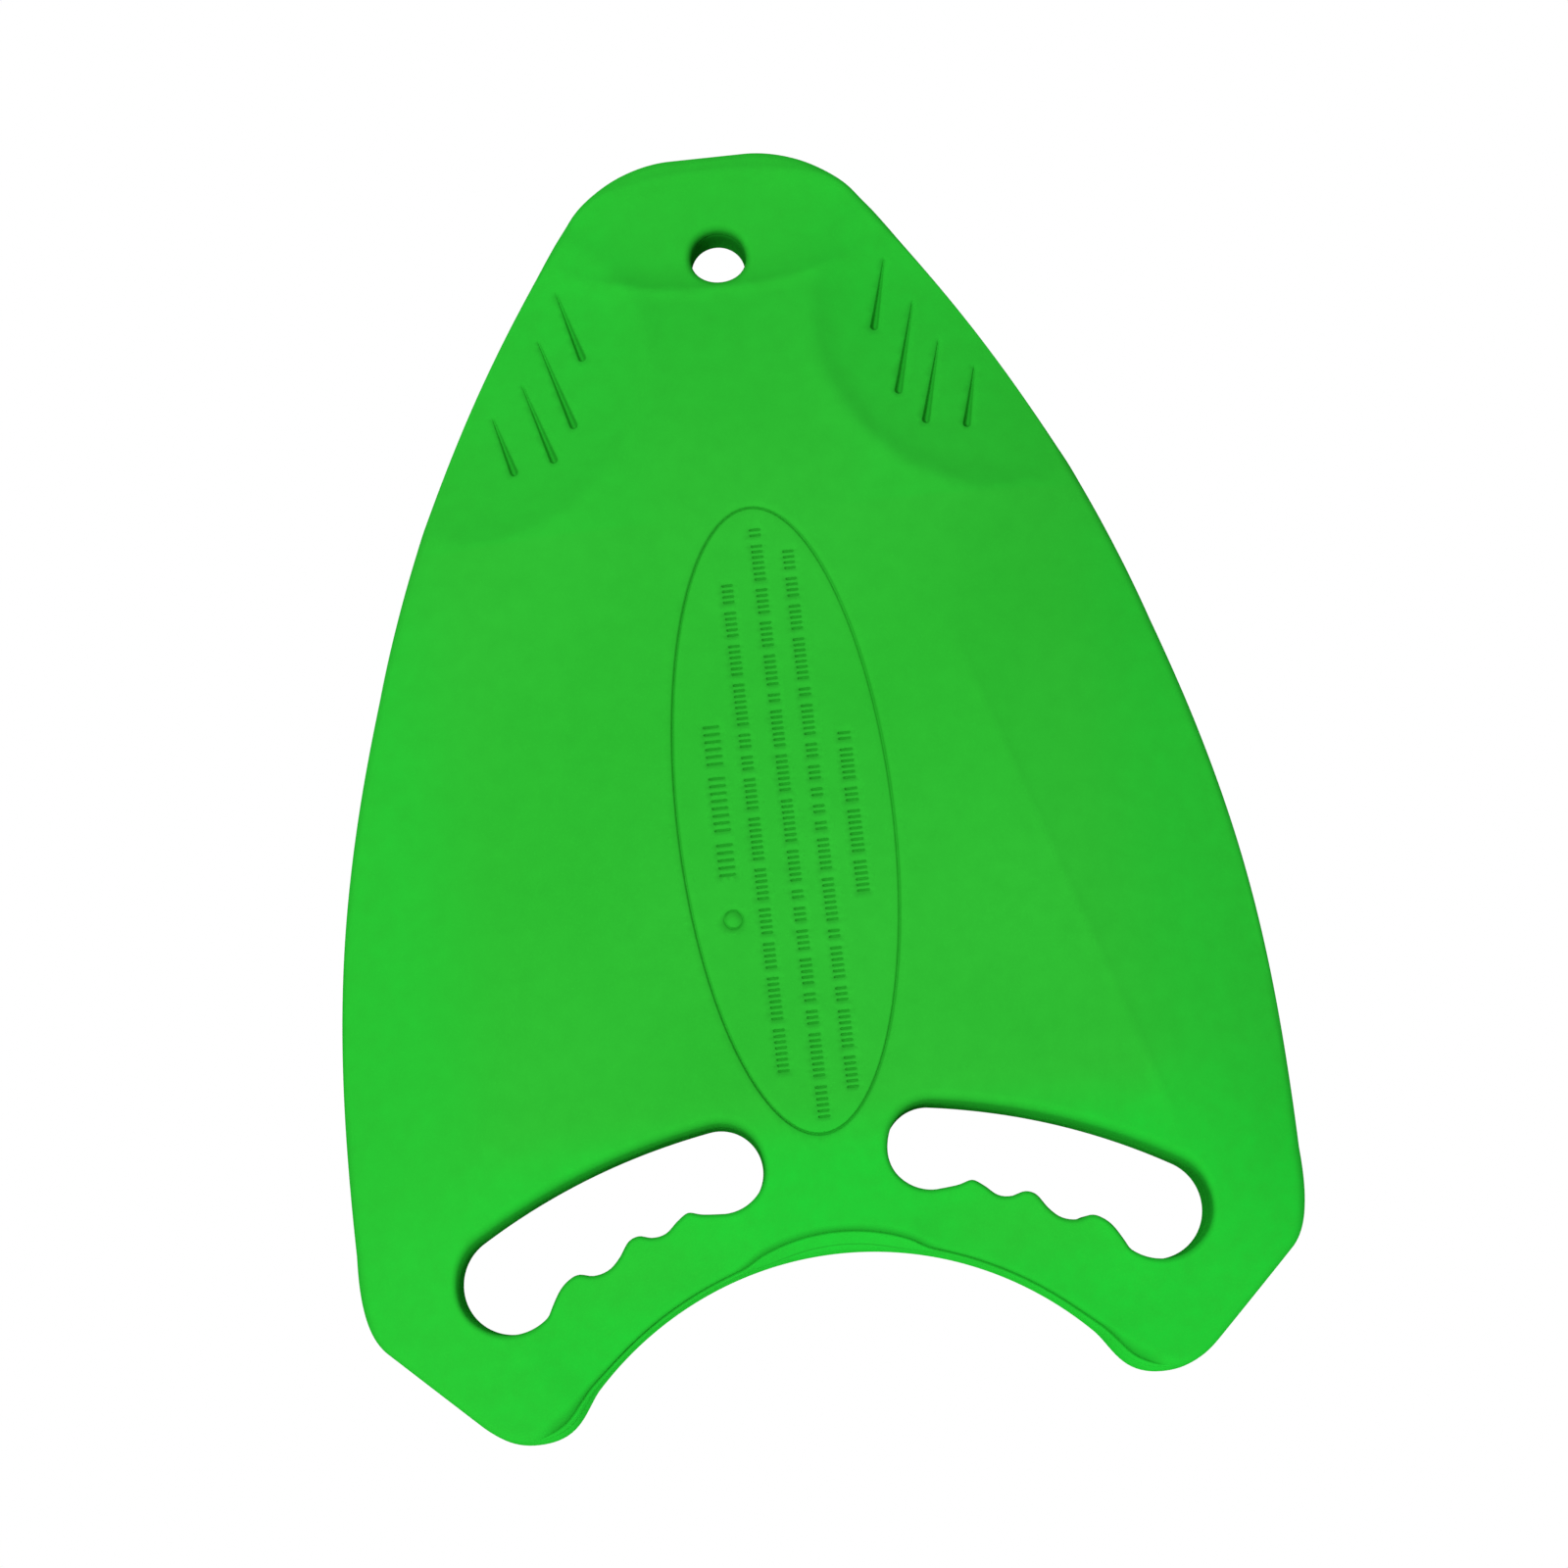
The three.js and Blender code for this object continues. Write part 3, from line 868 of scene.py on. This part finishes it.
mark_painted_light(deck)
mark_painted_light(base)
# The plain greens are the foam's green with a slight grey that stands in for its sheen: painted sheen, as the
# shader has none
deck.data.materials.append(foam_material(
    "deck_foam_skin",
    deep=(0.0195, 0.365, 0.0222), light=(0.0230, 0.385, 0.0258), painted_light_green=(0.0120, 0.435, 0.0258),
))
base.data.materials.append(foam_material(
    "base_foam_skin",
    deep=(0.0175, 0.355, 0.0205), light=(0.0205, 0.375, 0.0240), painted_light_green=(0.0115, 0.425, 0.0245),
))

for piece, node, slot_name in ((deck, "deck_half", "deck_foam"), (base, "base_half", "base_foam")):
    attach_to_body(piece, "root")
    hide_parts(node)

# ---- Floor, light and camera -----------------------------------------------------------------------

FLOOR_HALF, FLOOR_GAP = 6, 0.0004


def paper_material():
    """Pale paper that gives its light back to the board, and shows to the camera as plain white."""
    material = bpy.data.materials.new("paper")
    material.use_nodes = True
    nodes, links = material.node_tree.nodes, material.node_tree.links
    nodes["Principled BSDF"].inputs["Base Color"].default_value = (0.93, 0.93, 0.93, 1)
    nodes["Principled BSDF"].inputs["Roughness"].default_value = 0.9
    white = nodes.new("ShaderNodeEmission")
    white.inputs["Color"].default_value = (1, 1, 1, 1)
    seen = nodes.new("ShaderNodeLightPath")
    choice = nodes.new("ShaderNodeMixShader")
    links.new(seen.outputs["Is Camera Ray"], choice.inputs["Fac"])
    links.new(nodes["Principled BSDF"].outputs["BSDF"], choice.inputs[1])
    links.new(white.outputs["Emission"], choice.inputs[2])
    links.new(choice.outputs["Shader"], nodes["Material Output"].inputs["Surface"])
    return material


floor_mesh = bpy.data.meshes.new("floor")
floor_corners = [(FLOOR_HALF * x, FLOOR_HALF * y, 0) for x, y in ((-1, -1), (1, -1), (1, 1), (-1, 1))]
floor_mesh.from_pydata(floor_corners, [], [(0, 1, 2, 3)])
floor_mesh.materials.append(paper_material())
floor = bpy.data.objects.new("floor", floor_mesh)
floor.location.z = cad_low[2] - FLOOR_GAP
bpy.context.scene.collection.objects.link(floor)

world = bpy.data.worlds.new("studio")
world.use_nodes = True
world.node_tree.nodes["Background"].inputs["Color"].default_value = (1, 1, 1, 1)
world.node_tree.nodes["Background"].inputs["Strength"].default_value = 0.3
bpy.context.scene.world = world


def soft_light(name, place, size, power):
    """A round lamp that points at the board: place and size in metres, power in watts."""
    data = bpy.data.lights.new(name, "AREA")
    data.shape = "DISK"
    data.size = size
    data.energy = power
    light = bpy.data.objects.new(name, data)
    light.location = place
    light.rotation_euler = (-Vector(place)).to_track_quat("-Z", "Y").to_euler()
    bpy.context.scene.collection.objects.link(light)


soft_light("key", (-0.65, -0.3, 1.5), 0.35, 19)
soft_light("low", (0.3, -1.7, 0.62), 0.6, 16)
soft_light("front", (-0.2, 1.5, 1.0), 0.9, 9)
soft_light("overhead", (0.35, 0.2, 2.2), 1.0, 6)

camera_data = bpy.data.cameras.new("camera")
camera_data.sensor_width = 36
camera_data.lens = 67.5
camera = bpy.data.objects.new("camera", camera_data)
CAMERA_PLACE = (-0.0289, -0.2179, 0.9731)
RIGHT = Vector((0.99327, -0.11564, 0.00608)).normalized()
AHEAD = Vector((0.03065, 0.21185, -0.97682)).normalized()
UP = RIGHT.cross(AHEAD)
facing = Matrix((RIGHT, UP, -AHEAD)).transposed().to_4x4()
camera.matrix_world = Matrix.Translation(CAMERA_PLACE) @ facing
bpy.context.scene.collection.objects.link(camera)
bpy.context.scene.camera = camera
bpy.context.scene.view_settings.view_transform = "Standard"
